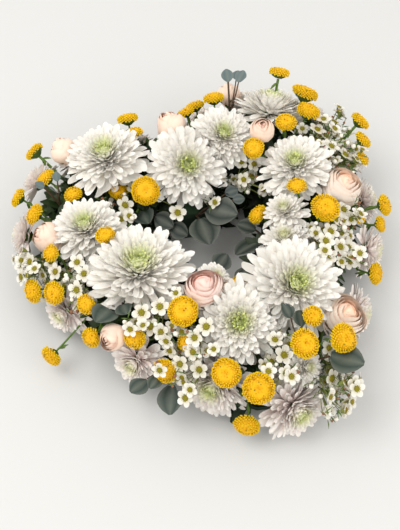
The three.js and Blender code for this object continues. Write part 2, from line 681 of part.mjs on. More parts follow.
nodes.forEach((node, i) => {
  const draw = drawer(i + 1);
  const near = nodes.filter((other) => other !== node);
  const blooms = node.heads.flatMap((head, k) => {
    const planes = roomPlanes(head);
    if (node.kind === 'eucalyptus') return leaf(head, planes, node.pieces[k].from);
    return MAKERS[node.kind](head, planes, draw);
  });
  let body = Manifold.union(blooms).subtract(keepOut);
  body = body.subtract(Manifold.union(near.map((other) => other.sleeve)));
  const whole = largest(Manifold.union([body, ...node.stems]));
  add(node.name, largest(whole.simplify(0.15)), LOOKS[node.kind]);
});

// The middle of the whole outline stands on the origin.
const middle = new THREE.Box3().setFromObject(group).getCenter(V(0, 0, 0));
group.children.forEach((mesh) => mesh.geometry.translate(-middle.x, -middle.y, 0));

export default group;
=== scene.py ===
import math
import random

import bpy
import numpy as np
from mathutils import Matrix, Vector


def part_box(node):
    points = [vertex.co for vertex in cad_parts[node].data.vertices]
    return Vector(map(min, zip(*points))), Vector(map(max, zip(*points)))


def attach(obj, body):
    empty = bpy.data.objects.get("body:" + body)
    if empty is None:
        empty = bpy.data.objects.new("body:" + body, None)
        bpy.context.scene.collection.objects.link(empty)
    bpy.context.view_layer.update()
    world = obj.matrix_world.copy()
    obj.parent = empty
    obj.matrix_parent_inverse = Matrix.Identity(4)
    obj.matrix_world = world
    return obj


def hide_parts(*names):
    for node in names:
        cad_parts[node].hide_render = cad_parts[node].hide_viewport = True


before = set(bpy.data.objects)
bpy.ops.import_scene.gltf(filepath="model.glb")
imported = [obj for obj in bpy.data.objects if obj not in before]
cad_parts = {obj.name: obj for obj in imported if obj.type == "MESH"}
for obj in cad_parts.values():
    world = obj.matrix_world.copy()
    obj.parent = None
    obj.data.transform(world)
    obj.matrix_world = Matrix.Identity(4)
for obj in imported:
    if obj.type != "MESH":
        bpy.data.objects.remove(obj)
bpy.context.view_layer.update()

MM = 0.001
# Heart: lobe centre, lobe radius and tip of the frame's middle line, with half widths each side of it.
LOBE_X, LOBE_Y, LOBE_R, TIP_Y = 53.0, 53.0, 66.0, -119.0
FOAM_HALF, FOAM_TOP = 31.0, 48.0
# Middle of the open hole along Y, how far small flowers keep from it, and how far from it leaves get painted
# shade.
HOLE_Y, HOLE_CLEAR, HOLE_SHADE = 20.0, 60, 62

# Chrysanthemums over these radii are large or middling, and the rest are small.
LARGE, MIDDLING = 45, 30
# Layers of petals, petals in the lowest, and half widths of the lowest and the topmost, per radius.
LAYERS = {"large": (17, 32, 0.08, 0.024), "middling": (16, 26, 0.1, 0.026), "small": (11, 18, 0.13, 0.04)}

# Roses up to this radius are closed buds.
BUD_RADIUS = 20.0
# Rows of rose petals: count, reach, height of the lip, how far the lip curls out, and share of a turn.
BUD_ROWS = [(3, 0.78, 0.42, 0.03, 1.5), (3, 0.72, 0.56, 0.0, 1.5), (3, 0.62, 0.66, -0.06, 1.4),
            (3, 0.46, 0.68, -0.1, 1.3), (2, 0.28, 0.66, -0.06, 1.3)]
OPEN_ROWS = [(4, 0.95, -0.22, 0.14, 1.6), (4, 0.88, 0.02, 0.06, 1.6), (4, 0.8, 0.18, 0.02, 1.6),
             (3, 0.67, 0.28, -0.02, 1.5), (3, 0.5, 0.33, -0.04, 1.5), (3, 0.32, 0.34, -0.05, 1.4),
             (2, 0.16, 0.3, -0.03, 1.3)]

# Radius of one floret of a button, and the turn from each floret or inner petal to the next.
FLORET = 1.15
GOLDEN_TURN = 2.39996

# Small flowers round each waxflower head: tries, reach, least distance from a head, and the widest |x|.
SMALL_TRIES, SMALL_REACH, SMALL_APART, SMALL_EDGE = 34, 21, 11, 188

# Depth of a head's middle below its face, the room that it takes, where its stem ends behind it, per
# radius, and the radius of its stem in millimetres.
SINK = {"chrysanthemum": 0.28, "rose": 0.2, "button": 0.15, "waxflower": 0, "eucalyptus": 0}
ROOM = {"chrysanthemum": 1.05, "rose": 1.08, "button": 1.08, "waxflower": 1.1, "eucalyptus": 1.0}
BACK = {"chrysanthemum": 0.5, "rose": 0.95, "button": 0.72, "waxflower": 0.4, "eucalyptus": 0.1}
STEM = {"chrysanthemum": 2.6, "rose": 2.2, "button": 1.5, "waxflower": 0.9, "eucalyptus": 1.0}

LOW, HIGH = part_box("base_tray")
SHIFT = np.array([(LOW.x + HIGH.x) / 2, (LOW.y + HIGH.y) / 2, 0.0]) / MM

# Heads: x, y, z and radius in millimetres, with the point at the middle of the flower's face.
CHRYSANTHEMUMS = {
    "chrysanthemum_01": ([(-75, 130, 96, 43)], (0, -0.2)),
    "chrysanthemum_02": ([(0, 87, 92, 42)], (-0.1, -0.6)),
    "chrysanthemum_03": ([(45, 106, 102, 34)], (0, -0.2)),
    "chrysanthemum_04": ([(-118, 57, 88, 38)], (0, 0)),
    "chrysanthemum_05": ([(-84, -10, 98, 55)], (0.1, 0)),
    "chrysanthemum_06": ([(99, 48, 102, 37)], (0, -0.1)),
    "chrysanthemum_07": ([(47, -81, 98, 49)], (-0.1, -0.2)),
    "chrysanthemum_spray_hole": ([(71, 8, 88, 25), (61, -19, 82, 27)], (0, 0)),
    "chrysanthemum_08": ([(-17, -99, 92, 42), (-16, -38, 79, 18)], (-0.1, -0.4)),
    "chrysanthemum_09": ([(113, 141, 88, 41)], (0, 0)),
    "chrysanthemum_10": ([(-166, -7, 40, 27)], (0, -0.2)),
    "chrysanthemum_11": ([(-118, -86, 48, 29)], (0, -0.1)),
    "chrysanthemum_12": ([(-57, -133, 48, 38)], (0, -0.1)),
    "chrysanthemum_spray_tip": ([(12, -182, 42, 35), (30, -154, 72, 21), (0, -150, 58, 18)], (0, 0)),
    "chrysanthemum_spray_left": ([(-149, 159, 46, 25), (-181, 102, 36, 25)], (0, 0)),
    "chrysanthemum_spray_right": ([(155, -43, 38, 28), (175, 15, 44, 27)], (0, 0)),
    "chrysanthemum_spray_front": ([(113, -105, 38, 28), (72, -152, 34, 26)], (0, 0)),
    "chrysanthemum_spray_back_left": ([(-95, 182, 42, 28), (-34, 178, 40, 26)], (0, 0)),
    "chrysanthemum_spray_back_right": ([(48, 182, 40, 27), (108, 186, 42, 27)], (0, 0)),
    "chrysanthemum_spray_far_right": ([(163, 138, 50, 26), (183, 76, 44, 26)], (0, 0)),
}
ROSES = {
    "rose_01": ([(-112, 159, 78, 18)], (0, 0)),
    "rose_02": ([(1, 145, 88, 20)], (0, 0)),
    "rose_03": ([(79, 179, 70, 16)], (0, 0)),
    "rose_04": ([(79, 88, 112, 16)], (0, 0)),
    "rose_05": ([(141, 17, 84, 24)], (-0.11, 0.07)),
    "rose_06": ([(-156, 66, 70, 20)], (0, 0)),
    "rose_07": ([(-36, -56, 102, 22)], (-0.12, -0.01)),
    "rose_08": ([(-128, -62, 68, 17)], (0, 0)),
    "rose_09": ([(84, -116, 76, 24)], (-0.43, 0.34)),
}
BUTTONS = {
    "button_spray_left_back": [(-139, 180, 62, 10), (-138, 133, 74, 10), (-117, 104, 74, 9)],
    "button_spray_left": [(-160, 98, 68, 10), (-170, 128, 62, 9)],
    "button_spray_left_front": [(-166, 3, 68, 11), (-184, 18, 58, 11), (-157, 41, 78, 8)],
    "button_spray_left_low": [(-141, -24, 76, 9), (-146, -52, 62, 9), (-186, -40, 28, 10)],
    "button_spray_cleft_left": [(-36, 150, 86, 7), (-37, 173, 82, 10)],
    "button_spray_cleft": [(24, 162, 80, 8), (37, 170, 76, 9), (55, 162, 90, 10)],
    "button_spray_back": [(128, 160, 104, 10), (148, 136, 90, 14)],
    "button_spray_inner": [(64, 72, 108, 10), (106, 90, 110, 10), (138, 106, 98, 12)],
    "button_spray_right": [(190, 85, 84, 10), (184, 64, 80, 9), (176, 46, 74, 7), (143, 64, 62, 9)],
    "button_spray_right_low": [(177, -8, 62, 10), (166, -24, 54, 8), (136, -76, 56, 10), (143, -18, 72, 7)],
    "button_spray_hole": [(106, -12, 97, 14), (89, 20, 100, 9), (50, 20, 70, 10)],
    "button_spray_hole_left": [(-49, 76, 84, 14), (-72, 97, 68, 9), (-104, 30, 97, 9)],
    "button_spray_front_left": [(-62, -74, 98, 14), (-110, -74, 78, 10), (-93, -110, 66, 11),
                                (-68, -96, 80, 7)],
    "button_spray_front": [(-45, -139, 84, 13), (-23, -162, 82, 14), (-36, -172, 32, 12)],
    "button_spray_tip": [(28, -143, 100, 13), (65, -147, 92, 14), (45, -121, 103, 9), (0, -52, 76, 9)],
}
WAXFLOWERS = {
    "waxflower_spray_left": [(-178, 46, 66, 9.5), (-190, 40, 54, 9.5), (-158, 24, 70, 9), (-192, 66, 48, 6),
                             (-145, -6, 76, 9.5), (-134, 5, 82, 9)],
    "waxflower_spray_lower": [(-60, -98, 88, 9), (-47, -93, 92, 9.5), (-64, -122, 72, 9), (-79, -112, 75, 9),
                              (-97, -58, 90, 9.5), (-80, -60, 94, 9.5), (-93, -71, 83, 9)],
    "waxflower_spray_right": [(140, 85, 90, 9.5), (146, 62, 87, 9.5), (158, 52, 80, 9.5), (166, 97, 78, 9.5)],
    "waxflower_spray_right_low": [(92, -45, 92, 9.5), (106, -50, 82, 9.5), (103, -33, 86, 9.5),
                                  (128, -10, 80, 9.5)],
    "waxflower_spray_tip": [(45, -170, 70, 9.5), (44, -180, 58, 9.5), (58, -160, 72, 9), (10, -140, 84, 9.5)],
    "waxflower_spray_hole": [(-72, 76, 70, 9.5), (-23, 55, 62, 9.5), (16, 54, 62, 8), (51, 64, 72, 8)],
}
EUCALYPTUS = {
    "eucalyptus_hole_top": [(-2, 33, 50, 17), (20, 46, 56, 17), (38, 62, 60, 7), (42, 52, 58, 6)],
    "eucalyptus_hole_right": [(39, 23, 50, 10), (32, -1, 52, 16), (15, -31, 54, 11), (27, -20, 44, 9)],
    "eucalyptus_hole_left": [(-56, 70, 54, 13), (-38, 56, 52, 11), (-26, 44, 46, 10)],
    "eucalyptus_back": [(75, 175, 104, 7), (88, 169, 104, 7), (90, 184, 90, 6)],
    "eucalyptus_left": [(-146, 122, 80, 5), (-135, 112, 80, 5), (-128, 122, 86, 5)],
    "eucalyptus_front_left": [(-128, -42, 82, 14), (-110, -44, 84, 10)],
    "eucalyptus_front": [(-104, -112, 56, 8), (-94, -127, 42, 15), (-118, -107, 48, 10)],
    "eucalyptus_tip": [(62, -162, 82, 16), (27, -104, 97, 8), (36, -115, 96, 8)],
}


def unit(v):
    return v / max(np.linalg.norm(v), 1e-9)


def linear(r, g, b):
    """An sRGB colour of 0 to 255 as linear values."""
    return np.array([(c / 255) ** 2.2 for c in (r, g, b)])


def mix(a, b, t):
    """A colour between a and b, for t from 0 to 1."""
    t = np.clip(np.asarray(t, float), 0, 1)[..., None]
    return a * (1 - t) + b * t


def scatter(rng, reach):
    """A random vector with each part up to reach."""
    return np.array([rng.uniform(-1, 1) for _ in range(3)]) * reach


def heart_line():
    """The middle line of the heart as a closed row of points with outward normals."""
    reach = math.hypot(LOBE_X, LOBE_Y - TIP_Y)
    half = math.atan2(LOBE_X, LOBE_Y - TIP_Y) + math.asin(LOBE_R / reach)
    side = math.sqrt(reach ** 2 - LOBE_R ** 2)
    right = []
    for i in range(9):
        d = side * i / 8
        right.append((d * math.sin(half), TIP_Y + d * math.cos(half), math.cos(-half), math.sin(-half)))
    last = math.pi - math.acos(LOBE_X / LOBE_R)
    for i in range(1, 25):
        a = -half + (last + half) * i / 24
        c, s = math.cos(a), math.sin(a)
        right.append((LOBE_X + LOBE_R * c, LOBE_Y + LOBE_R * s, c, s))
    left = [(-x, y, -nx, ny) for x, y, nx, ny in right[::-1]]
    return np.array(right + left)


LINE = heart_line()


def nearest(x, y):
    """Nearest point of the middle line, the signed distance outside it and the way out."""
    a = LINE[:, :2]
    b = np.roll(a, -1, axis=0)
    d = b - a
    t = np.clip(((np.array([x, y]) - a) * d).sum(1) / np.maximum((d * d).sum(1), 1e-9), 0, 1)
    q = a + d * t[:, None]
    gap = np.hypot(q[:, 0] - x, q[:, 1] - y)
    i = int(gap.argmin())
    cross = (a[:, 1] > y) != (b[:, 1] > y)
    with np.errstate(divide="ignore", invalid="ignore"):
        at = (b[:, 0] - a[:, 0]) * (y - a[:, 1]) / (b[:, 1] - a[:, 1]) + a[:, 0]
    inside = int((cross & (x < at)).sum()) % 2 == 1
    sign = -1.0 if inside else 1.0
    out = (np.array([x, y]) - q[i]) / max(gap[i], 1e-6) * sign
    return q[i], gap[i] * sign, out


class Head:
    """A flower or leaf: its face, radius, facing, and the room that it fills."""

    def __init__(self, node, kind, place, lean):
        self.node, self.kind = node, kind
        self.at = np.array(place[:3], float)
        self.r = float(place[3])
        q = nearest(place[0], place[1])[0]
        axis = unit(self.at - np.array([q[0] * 0.96, q[1] * 0.96, 18.0]))
        self.a = unit(axis + np.array([lean[0], lean[1], 0.0]))
        side = np.array([0, 0, 1.0]) if abs(self.a[2]) < 0.97 else np.array([0, 1.0, 0])
        self.u = unit(np.cross(side, self.a))
        self.v = np.cross(self.a, self.u)
        self.middle = self.at - self.a * SINK[kind] * self.r
        self.room = ROOM[kind] * self.r


NODES = {}
for kind, table in (("chrysanthemum", CHRYSANTHEMUMS), ("rose", ROSES), ("button", BUTTONS),
                    ("waxflower", WAXFLOWERS), ("eucalyptus", EUCALYPTUS)):
    for name, entry in table.items():
        places, lean = entry if isinstance(entry, tuple) else (entry, (0, 0))
        NODES[name] = [Head(name, kind, p, lean) for p in places]
HEADS = [h for heads in NODES.values() for h in heads]
MIDDLES = np.array([h.middle for h in HEADS])
ROOMS = np.array([h.room for h in HEADS])


def planes_of(head):
    """Cuts between this head's room and those of other nodes' heads."""
    rows = []
    for other in HEADS:
        if other.node == head.node:
            continue
        way = other.middle - head.middle
        distance = np.linalg.norm(way)
        if distance > head.room + other.room:
            continue
        t = (distance ** 2 + head.room ** 2 - other.room ** 2) / (2 * distance)
        share = distance / (head.room + other.room)
        t = min(max(t, min(0.42, share) * head.room), distance - min(0.42, share) * other.room)
        way = way / distance
        rows.append((way, way @ head.middle + t))
    return rows


def settle(points, planes, give=0.7):
    """Points eased back where they lean into a neighbour's room or the ground."""
    p = points
    for n, d in planes:
        over = np.maximum(p @ n - d, 0)
        p = p - (over * give)[:, None] * n
    p[:, 2] = np.maximum(p[:, 2], 1.5)
    return p


UP = np.array([0, 0, 1.0])


class Sheet:
    """Gathers points, faces, colours and materials for one piece."""

    def __init__(self):
        self.points, self.colours, self.faces = [], [], []
        self.count = 0

    def add(self, points, colours, faces, slot):
        """Adds points with their colours, and faces that count from the first of these points."""
        points = np.asarray(points, float).reshape(-1, 3)
        colours = np.broadcast_to(np.asarray(colours, float), points.shape)
        self.points.append(points)
        self.colours.append(colours)
        self.faces.append((np.asarray(faces, int) + self.count, slot))
        self.count += len(points)

    def grid(self, points, colours, slot, wrap=False):
        """Adds a grid of points as quads, closed to a ring along its second way if wrapped."""
        nu, nv = points.shape[:2]
        index = np.arange(nu * nv).reshape(nu, nv)
        if wrap:
            index = np.concatenate([index, index[:, :1]], axis=1)
        a, b = index[:-1, :-1], index[:-1, 1:]
        c, d = index[1:, 1:], index[1:, :-1]
        self.add(points, colours.reshape(-1, 3) if colours.ndim == 3 else colours,
                 np.stack([a, b, c, d], -1).reshape(-1, 4), slot)


LOOKS = {}


def build(name, sheet, looks, replaces=()):
    """Makes one piece of a sheet, with its looks as materials and its colours as an attribute."""
    points = (np.concatenate(sheet.points) + SHIFT) * MM
    colours = np.concatenate(sheet.colours)
    faces, slots = [], []
    for rows, look in sheet.faces:
        faces += rows.tolist()
        slots += [looks.index(look)] * len(rows)
    mesh = bpy.data.meshes.new(name)
    mesh.from_pydata(points.tolist(), [], faces)
    for look in looks:
        mesh.materials.append(LOOKS[look])
    mesh.polygons.foreach_set("material_index", slots)
    mesh.polygons.foreach_set("use_smooth", [True] * len(faces))
    tint = mesh.color_attributes.new("tint", "FLOAT_COLOR", "POINT")
    rgba = np.concatenate([np.clip(colours, 0, 1), np.ones((len(points), 1))], axis=1)
    tint.data.foreach_set("color", rgba.ravel())
    mesh.update()
    obj = bpy.data.objects.new(name, mesh)
    bpy.context.scene.collection.objects.link(obj)
    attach(obj, "root")
    if replaces:
        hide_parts(*replaces)


def look(name, roughness, subsurface, scale, bump, vary):
    """A material that takes its colour from the piece, with fine noise in tone and relief."""
    mat = bpy.data.materials.new(name)
    mat.use_nodes = True
    nodes, links = mat.node_tree.nodes, mat.node_tree.links
    shader = nodes["Principled BSDF"]
    shader.inputs["Roughness"].default_value = roughness
    shader.inputs["Specular IOR Level"].default_value = 0.35
    if subsurface:
        shader.inputs["Subsurface Weight"].default_value = subsurface
        shader.inputs["Subsurface Radius"].default_value = (1.0, 0.86, 0.76)
        shader.inputs["Subsurface Scale"].default_value = 0.005
    tint = nodes.new("ShaderNodeVertexColor")
    tint.layer_name = "tint"
    place = nodes.new("ShaderNodeTexCoord")
    noise = nodes.new("ShaderNodeTexNoise")
    noise.inputs["Scale"].default_value = scale
    noise.inputs["Detail"].default_value = 2.0
    links.new(place.outputs["Object"], noise.inputs["Vector"])
    level = nodes.new("ShaderNodeMapRange")
    level.inputs["To Min"].default_value = 1 - vary
    level.inputs["To Max"].default_value = 1 + vary * 0.4
    links.new(noise.outputs["Fac"], level.inputs["Value"])
    shade = nodes.new("ShaderNodeVectorMath")
    shade.operation = "SCALE"
    links.new(tint.outputs["Color"], shade.inputs[0])
    links.new(level.outputs["Result"], shade.inputs["Scale"])
    links.new(shade.outputs["Vector"], shader.inputs["Base Color"])
    relief = nodes.new("ShaderNodeBump")
    relief.inputs["Strength"].default_value = bump
    relief.inputs["Distance"].default_value = 0.0006
    links.new(noise.outputs["Fac"], relief.inputs["Height"])
    links.new(relief.outputs["Normal"], shader.inputs["Normal"])
    LOOKS[name] = mat


look("petal", 0.55, 0.25, 260, 0.08, 0.04)
look("rose_petal", 0.5, 0.12, 200, 0.06, 0.04)
look("floret", 0.6, 0.15, 900, 0.2, 0.12)
look("wax_petal", 0.35, 0.25, 300, 0.05, 0.05)
look("green", 0.6, 0.0, 500, 0.3, 0.2)
look("leaf", 0.5, 0.05, 220, 0.25, 0.18)

WHITE = linear(250, 247, 240)
# Lilac: the colour of the petal roots, painted shade deep in each bloom.
LILAC = linear(248, 242, 235)
MAUVE = linear(242, 222, 220)
LIME = linear(234, 246, 138)
CREAM = linear(240, 242, 176)
STALK = linear(88, 112, 52)
CALYX = linear(64, 88, 36)
BARK = linear(92, 74, 58)
LEAF_RIM = linear(128, 132, 120)


def tube(sheet, path, radii, colour, slot="green", sides=6):
    """A round tube along a path of points."""
    path = np.asarray(path, float)
    way = np.gradient(path, axis=0)
    rings = []
    for p, w, r in zip(path, way, np.broadcast_to(radii, len(path))):
        w = unit(w)
        u = unit(np.cross(w, [0.31, 0.2, 0.93] if abs(w[2]) < 0.9 else [1.0, 0.1, 0]))
        v = np.cross(w, u)
        t = np.arange(sides) / sides * 2 * math.pi
        rings.append(p + r * (np.cos(t)[:, None] * u + np.sin(t)[:, None] * v))
    sheet.grid(np.array(rings), colour, slot, wrap=True)


def bent(p, q, sag, steps=5):
    """A path from p to q that bows by sag along a vector."""
    t = np.linspace(0, 1, steps)[:, None]
    return p + (q - p) * t + np.asarray(sag) * (4 * t * (1 - t))


def profile(t):
    """Half width of a strap petal along its length, with a rounded tip."""
    root, widest, tip = 0.4, 0.8, 0.26
    rise = root + (1 - root) * np.sin(np.clip(t / widest, 0, 1) * math.pi / 2)
    fall = np.sqrt(np.clip(1 - ((t - widest) / (1.0 - widest)) ** 2, 0, 1))
    return np.where(t < widest, rise, np.maximum(fall ** 0.8, tip))


def petal(sheet, head, turn, r0, h0, length, e0, e1, width, hollow, twist, shade, planes, slot,
          nu, nv, give=0.7):
    """One petal: a strip from radius r0 and height h0 that leaves at angle e0 and ends at e1.

    It is hollowed across and twisted, has nu by nv faces, and gives way to the planes of its neighbours.
    """
    t = 1 - (1 - np.linspace(0, 1, nu + 1)) ** 1.6
    e = e0 + (e1 - e0) * t
    step = length * np.diff(t)
    mid = (e[:-1] + e[1:]) / 2
    r = r0 + np.concatenate([[0], np.cumsum(np.cos(mid) * step)])
    h = h0 + np.concatenate([[0], np.cumsum(np.sin(mid) * step)])
    d = math.cos(turn) * head.u + math.sin(turn) * head.v
    s = -math.sin(turn) * head.u + math.cos(turn) * head.v
    v = np.linspace(-1, 1, nv + 1)
    w = profile(t) * width
    rise = -np.sin(e)[:, None] * d + np.cos(e)[:, None] * head.a
    side = math.cos(twist) * s + math.sin(twist) * rise
    spine = head.at + r[:, None] * d + h[:, None] * head.a
    points = (spine[:, None, :] + (w[:, None] * v[None, :])[..., None] * side[:, None, :]
              + (w[:, None] * (hollow * v ** 2)[None, :])[..., None] * rise[:, None, :])
    points = settle(points.reshape(-1, 3), planes, give).reshape(nu + 1, nv + 1, 3)
    colours = shade(np.broadcast_to(t[:, None], (nu + 1, nv + 1)), np.broadcast_to(v, (nu + 1, nv + 1)))
    sheet.grid(points, colours, slot)


def cup(sheet, head, rings, colour, slot, sides, planes):
    """A turned body about the head's axis, from rings of radius and height."""
    t = np.arange(sides) / sides * 2 * math.pi
    points = np.array([head.at + r * (np.cos(t)[:, None] * head.u + np.sin(t)[:, None] * head.v) + h * head.a
                       for r, h in rings])
    points = settle(points.reshape(-1, 3), planes).reshape(points.shape)
    sheet.grid(points, colour, slot, wrap=True)


def chrysanthemum(sheet, head, rng, tinted):
    """Strap petals in many layers, from a wide spread below to an incurved heart."""
    planes = planes_of(head)
    R = head.r
    size = "large" if R > LARGE else "middling" if R > MIDDLING else "small"
    rows, count, wide_out, wide_in = LAYERS[size]
    edge = MAUVE if tinted else LILAC
    heart = CREAM if size == "small" else LIME
    for k in range(rows):
        f = (k / (rows - 1)) ** 0.8
        n = int(round(count * (1 - 0.25 * f)))
        long = R * (0.92 - 0.71 * f ** 0.9)
        e0 = math.radians(-8 + 86 * f ** 0.9)
        e1 = e0 + math.radians(2 + 34 * f)
        r0 = R * (0.14 * (1 - f) + 0.02)
        h0 = R * (-0.42 + 0.34 * f)
        wide = R * (wide_in + (wide_out - wide_in) * (1 - f) ** 1.3)
        for i in range(n):
            turn = (i + 0.5 * (k % 2)) / n * 2 * math.pi + rng.uniform(-0.13, 0.13) + k * 0.13
            near = 1 - 0.85 * f

            # Each petal runs from its root colour to white at the tip: lilac roots are painted shade deep in
            # the bloom, and the mauve roots of low heads are their own tint.
            def shade(t, v, f=f, tone=rng.uniform(-0.1, 0.1)):
                base = mix(edge, WHITE, (0.1 if tinted else 0.35) + 0.8 * t + tone)
                lime = np.clip((f - 0.52) / 0.4, 0, 1) * (1 - 0.4 * t)
                return mix(base, heart, lime)

            petal(sheet, head, turn, r0, h0 + rng.uniform(-0.02, 0.02) * R,
                  long * (1 + rng.uniform(-0.1, 0.08)), e0 + rng.uniform(-0.17, 0.15) * near,
                  e1 + rng.uniform(-0.3, 0.4) * near, wide * rng.uniform(0.88, 1.12),
                  0.3 + 0.3 * f, rng.uniform(-0.4, 0.4) * near, shade, planes, "petal",
                  nu=5 if size == "small" else 6, nv=4 if size == "large" else 3)
    # A tuft of short florets in the middle.
    tuft = 26
    for i in range(14 if size == "small" else tuft):
        petal(sheet, head, i * 2.4, 0.11 * R * math.sqrt(i / tuft), 0.02 * R, R * rng.uniform(0.12, 0.18),
              rng.uniform(0.9, 1.4), rng.uniform(0.3, 1.1), 0.024 * R, 0.3, 0,
              lambda t, v: mix(heart, WHITE, 0.25 * t), planes, "petal", nu=3, nv=2)
    cup(sheet, head, [(0.1 * R, -0.62 * R), (0.3 * R, -0.5 * R), (0.34 * R, -0.4 * R), (0.05 * R, -0.22 * R),
                      (0.0, -0.2 * R)], CALYX, "green", 10, planes)


def rose(sheet, head, rng, rosy):
    """Broad smooth petals wrapped round each other: an egg-shaped bud if small, or an open cup."""
    planes = planes_of(head)
    R = head.r
    bud = R <= BUD_RADIUS
    outer = linear(255, 225, 204) if bud else linear(255, 238, 228) if rosy else linear(255, 240, 226)
    heart = linear(255, 214, 202) if rosy else linear(255, 212, 190) if bud else linear(255, 218, 192)
    rows = BUD_ROWS if bud else OPEN_ROWS
    for k, (n, reach, top, flare, share) in enumerate(rows):
        f = k / (len(rows) - 1)
        for i in range(n):
            turn = (i + 0.5 * (k % 2)) / n * 2 * math.pi + rng.uniform(-0.15, 0.15) + 0.5 * k
            half = math.pi / n * share
            lift = rng.uniform(-0.07, 0.07)
            u = np.linspace(0, 1, 10)[:, None]
            v = np.linspace(-1, 1, 11)[None, :]
            drop = (0.3 if bud else 0.4) * np.abs(v) ** 2.2 * (1 - 0.4 * f)
            h = -0.95 + (top + lift - drop + 0.95) * u ** 0.9
            if bud:
                belly = np.sin(math.pi * (0.07 + 0.72 * u)) ** 0.7
            else:
                belly = np.sin(np.clip(u * 1.25, 0, 1) * math.pi / 2) ** 0.8
            lip = np.clip((u - 0.6) / 0.4, 0, 1) ** 2
            r = reach * belly * (1 - (0.6 * f if bud else 0.2) * u ** 4) + lip * flare * (1 - 0.4 * v ** 2)
            r = r + (0.02 if bud else 0.055) * v * (0.3 + 0.7 * u)
            r = r + 0.04 * np.sin(4 * v + turn * 3) * u ** 3 + rng.uniform(-0.03, 0.03) * u ** 2
            angle = turn + half * v * (0.3 + 0.7 * np.sin(np.clip(u * 1.4, 0, 1) * math.pi / 2))
            points = (head.at + (r * R)[..., None] * (np.cos(angle)[..., None] * head.u
                      + np.sin(angle)[..., None] * head.v) + (h * R)[..., None] * head.a)
            points = settle(points.reshape(-1, 3), planes, 0.3).reshape(points.shape)
            t = np.broadcast_to(u, (10, 11))
            tone = rng.uniform(-0.06, 0.06)
            warm = (0.3 if rosy else 0.05) + f * 0.75 - 0.3 * t ** 5 + tone
            sheet.grid(points, mix(outer, heart, warm), "rose_petal")
    cup(sheet, head, [(0.08 * R, -1.05 * R), (0.26 * R, -0.96 * R), (0.4 * R, -0.78 * R), (0.0, -0.74 * R)],
        CALYX, "green", 10, planes)
    if bud:
        ball(sheet, head.at + 0.3 * R * head.a, 0.3 * R, heart, "rose_petal", 0.8, head.a)
    else:
        ball(sheet, head.at - 0.14 * R * head.a, 0.5 * R, heart, "rose_petal", 0.9, head.a)
    for i in range(5):
        petal(sheet, head, i * 1.256 + 0.3, 0.2 * R, -0.98 * R, 0.7 * R, 0.9, 0.5, 0.12 * R, 0.3, 0,
              lambda t, v: mix(CALYX, STALK, t), planes, "green", 4, 2)


def button(sheet, head, rng):
    """A dome of packed florets with a dimple, over a green cup."""
    planes = planes_of(head)
    R = head.r
    deep, bright, pale = linear(252, 188, 0), linear(255, 210, 2), linear(255, 220, 24)
    dome = [(0.5, -0.4), (0.84, -0.26), (0.9, 0.0), (0.74, 0.26), (0.42, 0.4), (0.16, 0.28), (0.0, 0.22)]
    cup(sheet, head, [(r * R, h * R) for r, h in dome], linear(244, 186, 0), "floret", 14, planes)
    wide = FLORET / R
    n = int(1.5 / wide ** 2)
    for i in range(n):
        turn = i * GOLDEN_TURN
        arc = math.acos(1 - 1.547 * (i + 0.5) / n)
        f = arc / 2.15
        r = 0.94 * math.sin(min(arc, math.pi / 2)) * (1 - 0.14 * max(arc - math.pi / 2, 0))
        h = 0.46 * math.cos(arc) - 0.2 * math.exp(-(f / 0.24) ** 2)
        out = unit(np.array([math.cos(turn) * r, math.sin(turn) * r, 0.8 * math.cos(arc) + 0.2]))
        size = wide * rng.uniform(0.72, 1.0) * (0.75 + 0.25 * f)
        r *= 1 + rng.uniform(-0.05, 0.06) * f
        # The point in each floret's mouth is darker than the floret, painted shade in the opening, and nearly
        # black in some florets near the middle.
        core = 0.12 if f < 0.5 and rng.random() < 0.16 else 0.8
        base = np.array([math.cos(turn) * r, math.sin(turn) * r, h + rng.uniform(-0.02, 0.03)])
        side = unit(np.cross(out, [math.cos(turn), math.sin(turn), 0.3]))
        up = np.cross(side, out)
        ring = [base + size * (side * math.cos(a) + up * math.sin(a)) for a in np.arange(5) * 1.2566]
        crown = [base + out * size * 1.7 + 0.84 * (p - base) for p in ring]
        tip = [base + out * size * 1.2]
        local = np.array(ring + crown + tip)
        points = head.at + R * (local[:, :1] * head.u + local[:, 1:2] * head.v + local[:, 2:] * head.a)
        tone = mix(mix(deep, bright, f * 3 + rng.uniform(-0.1, 0.3)), pale, (f - 0.5) * 1.2)
        tone = tone * (0.4 if f < 0.45 and rng.random() < 0.1 else rng.uniform(0.84, 1.04))
        # Each floret's foot is the deep yellow darkened further, painted shade in the gaps between florets.
        colours = np.concatenate([np.tile(deep * 0.72, (5, 1)), np.tile(tone, (5, 1)), [tone * core]])
        points = settle(points, planes, 0.35)
        walls = [[k, (k + 1) % 5, 5 + (k + 1) % 5, 5 + k] for k in range(5)]
        mouth = [[5 + k, 5 + (k + 1) % 5, 10] for k in range(5)]
        sheet.add(points, colours, walls, "floret")
        sheet.add(points, colours, mouth, "floret")
    calyx = [(0.1, -0.78), (0.34, -0.7), (0.7, -0.42), (0.88, -0.16)]
    cup(sheet, head, [(r * R, h * R) for r, h in calyx], CALYX, "green", 12, planes)
    for i in range(10):
        petal(sheet, head, i * 0.628 + 0.2, 0.56 * R, -0.52 * R, 0.64 * R, 0.35, 1.5, 0.13 * R, 0.2, 0,
              lambda t, v: mix(CALYX, STALK, 0.6 * t), planes, "green", 4, 2, give=0.35)


